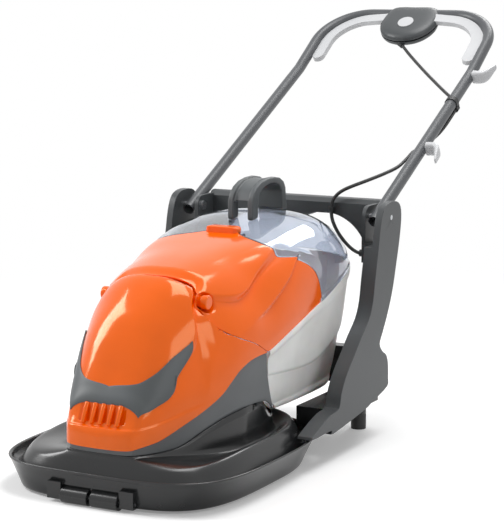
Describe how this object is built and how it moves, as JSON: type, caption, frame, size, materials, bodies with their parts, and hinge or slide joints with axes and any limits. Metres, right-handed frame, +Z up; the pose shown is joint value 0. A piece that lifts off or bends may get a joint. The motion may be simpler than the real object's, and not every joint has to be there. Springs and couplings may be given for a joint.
{
  "type": "hover mower",
  "caption": "Hover mower with a moulded hood on front rollers, an orange motor cover, a tilting grass bin with a clear lid, a wide yoke and a folding U handle with bail levers.",
  "frame": {"origin": "on the ground under the middle of the whole machine, as it stands on its rollers and feet", "axes": "+Z up, front towards -Y, +X to the operator's left"},
  "size_m": [0.484, 1.3971, 0.8162],
  "materials": {
    "dark_plastic": "satin",
    "black_plastic": "matt",
    "grey_plastic": "satin",
    "orange_plastic": "gloss",
    "clear_plastic": "clear, smoky",
    "pale_plastic": "satin",
    "steel": "bright",
    "alloy": "as cast",
    "tube_paint": "satin powder coat",
    "rubber": "matt"
  },
  "bodies": {
    "deck": {"hood": "dark_plastic", "roller_carrier": "dark_plastic", "roller_axle": "steel", "lower_body": "grey_plastic", "base_plate": "black_plastic", "spindle_housing": "alloy", "spindle_bearings": "steel", "drive_belt": "rubber", "motor_bracket": "alloy", "motor_can": "steel", "stator": "steel", "motor_bearings": "steel", "brush_holders": "black_plastic", "housing_screws": "steel", "motor_cover": "orange_plastic", "bumper": "dark_plastic", "pivot_pins": "orange_plastic", "grass_duct": "black_plastic", "yoke_arm_left": "dark_plastic", "yoke_arm_right": "dark_plastic", "crossbar": "dark_plastic", "rear_frame": "black_plastic", "rear_feet": "rubber", "pivot_bolts": "steel", "crossbar_clip": "black_plastic", "yoke_gland": "black_plastic", "lead_lower": "rubber"},
    "left_roller": {"roller_left": "dark_plastic"},
    "right_roller": {"roller_right": "dark_plastic"},
    "cutter": {"spindle": "steel", "lift_fan": "grey_plastic", "cutting_blade": "steel", "blade_spacer": "black_plastic", "blade_bolt": "steel", "driven_pulley": "black_plastic"},
    "rotor": {"armature": "steel", "motor_pulley": "black_plastic"},
    "collector": {"grass_bin": "pale_plastic", "lid_front": "orange_plastic", "lid_window": "clear_plastic", "carry_handle": "dark_plastic", "latch_seat": "black_plastic", "latch_spring": "steel"},
    "latch_button": {"latch": "orange_plastic"},
    "handle": {"upper_handle": "tube_paint", "switch_box_upper": "dark_plastic", "switch_box_lower": "dark_plastic", "microswitch": "black_plastic", "lever_pins": "steel", "hook_upper": "pale_plastic", "hook_lower": "pale_plastic", "lead_tie": "black_plastic", "box_gland": "black_plastic", "lead_upper": "rubber", "button_spring": "steel"},
    "lock_off_button": {"lock_button": "pale_plastic"},
    "left_lever": {"lever_left": "pale_plastic"},
    "right_lever": {"lever_right": "pale_plastic"}
  },
  "joints": [
    {"name": "left_roller_spin", "type": "hinge", "parent": "deck", "child": "left_roller", "pos_m": [0.03, -0.69, 0.014], "axis": [1, 0, 0], "continuous": true},
    {"name": "right_roller_spin", "type": "hinge", "parent": "deck", "child": "right_roller", "pos_m": [-0.03, -0.69, 0.014], "axis": [1, 0, 0], "continuous": true},
    {"name": "cutter_spin", "type": "hinge", "parent": "deck", "child": "cutter", "pos_m": [0, -0.41, 0.05], "axis": [0, 0, 1], "continuous": true},
    {"name": "motor_spin", "type": "hinge", "parent": "deck", "child": "rotor", "pos_m": [0, -0.56, 0.15], "axis": [0, 0, 1], "continuous": true},
    {"name": "collector_lift", "type": "hinge", "parent": "deck", "child": "collector", "pos_m": [0, -0.475, 0.324], "axis": [1, 0, 0], "range_deg": [0, 25]},
    {"name": "latch_press", "type": "slide", "parent": "collector", "child": "latch_button", "axis": [0, 0, -1], "range_m": [0, 0.004], "stiffness_N_per_m": 600, "springref_m": -0.003, "deforming": ["latch_spring"]},
    {"name": "handle_fold", "type": "hinge", "parent": "deck", "child": "handle", "pos_m": [0, 0.015, 0.424], "axis": [1, 0, 0], "range_deg": [0, 150], "deforming": ["lead_lower"]},
    {"name": "button_press", "type": "slide", "parent": "handle", "child": "lock_off_button", "axis": [0, 0.5635, -0.8261], "range_m": [0, 0.004], "stiffness_N_per_m": 500, "springref_m": -0.003, "deforming": ["button_spring"]},
    {"name": "left_lever_pull", "type": "hinge", "parent": "handle", "child": "left_lever", "pos_m": [0.058, 0.64853, 0.78657], "axis": [0, -0.8261, -0.5635], "range_deg": [0, 5], "stiffness_Nm_per_rad": 1.2, "springref_deg": -8.59},
    {"name": "right_lever_pull", "type": "hinge", "parent": "handle", "child": "right_lever", "pos_m": [-0.058, 0.64853, 0.78657], "axis": [0, 0.8261, 0.5635], "range_deg": [0, 5], "stiffness_Nm_per_rad": 1.2, "springref_deg": -8.59}
  ],
  "couplings": [
    {"joint": "motor_spin", "follows": "cutter_spin", "ratio": 3.5714}
  ]
}
